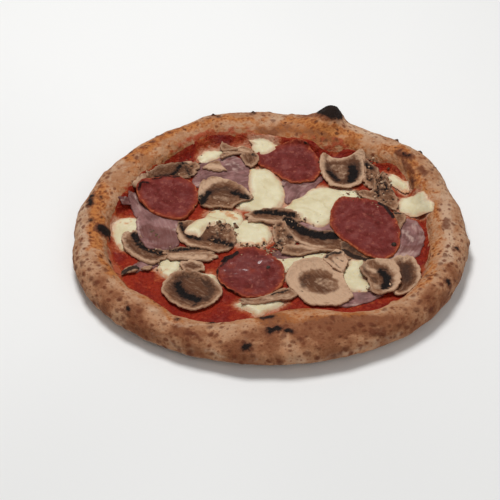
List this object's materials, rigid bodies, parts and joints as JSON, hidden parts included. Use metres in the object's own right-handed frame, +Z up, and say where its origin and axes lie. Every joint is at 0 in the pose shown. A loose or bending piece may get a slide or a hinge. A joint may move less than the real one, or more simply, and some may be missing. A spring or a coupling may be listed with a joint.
{
  "type": "pizza",
  "caption": "Round hand-shaped pizza with a puffed, blistered rim, tomato sauce, melted mozzarella, cooked ham, mushroom slices and salami laid over each other.",
  "frame": {"origin": "middle of the flat underside, at the centre of the outline's box", "axes": "+Z up out of the toppings, -Y towards the front that the picture shows nearest, +X to its right"},
  "size_m": [0.3064, 0.2966, 0.0316],
  "materials": {
    "bread": "baked, floury, browned and charred in spots",
    "tomato_sauce": "wet, oily",
    "mozzarella": "melted, soft sheen",
    "ham": "moist",
    "salami": "oily",
    "mushroom": "cooked, dry edges"
  },
  "bodies": {
    "root": {"crust": "bread", "tomato_sauce": "tomato_sauce", "ham_right": "ham", "ham_centre": "ham", "ham_centre_strip": "ham", "ham_front_strip": "ham", "ham_front_right": "ham", "ham_left_scrap": "ham", "ham_back": "ham", "salami_back": "salami", "mozzarella_back": "mozzarella", "mozzarella_back_left": "mozzarella", "mozzarella_back_drop": "mozzarella", "mozzarella_centre_back": "mozzarella", "mozzarella_centre_right": "mozzarella", "mozzarella_right_strip": "mozzarella", "mozzarella_right": "mozzarella", "mozzarella_left": "mozzarella", "mozzarella_centre": "mozzarella", "mozzarella_browned": "mozzarella", "mozzarella_front_left": "mozzarella", "mozzarella_front_strip": "mozzarella", "mozzarella_centre_front": "mozzarella", "mozzarella_front": "mozzarella", "mushroom_arch": "mushroom", "mushroom_left": "mushroom", "mushroom_edge_upper": "mushroom", "mushroom_edge_lower": "mushroom", "mushroom_long_back": "mushroom", "mushroom_long_front": "mushroom", "mushroom_torn": "mushroom", "mushroom_thin": "mushroom", "mushroom_charred": "mushroom", "mushroom_right_chip": "mushroom", "mushroom_right_outer": "mushroom", "mushroom_front_thin": "mushroom", "mushroom_curl": "mushroom", "mushroom_curl_cap": "mushroom", "mushroom_back_chip": "mushroom", "mushroom_ham_chip": "mushroom", "mushroom_umbrella": "mushroom", "ham_left_fold": "ham", "ham_left_strip": "ham", "ham_left": "ham", "mushroom_centre_left": "mushroom", "mozzarella_centre_left": "mozzarella", "mozzarella_front_right": "mozzarella", "mushroom_small_oval": "mushroom", "mushroom_cup": "mushroom", "mushroom_round": "mushroom", "mushroom_folded_flap": "mushroom", "mushroom_u_slice": "mushroom", "mushroom_bit_right": "mushroom", "mushroom_crumbled": "mushroom", "mushroom_right_umbrella": "mushroom", "mushroom_dark_chip": "mushroom", "mushroom_dark_bit": "mushroom", "salami_left": "salami", "salami_right": "salami", "salami_front": "salami"}
  },
  "joints": []
}
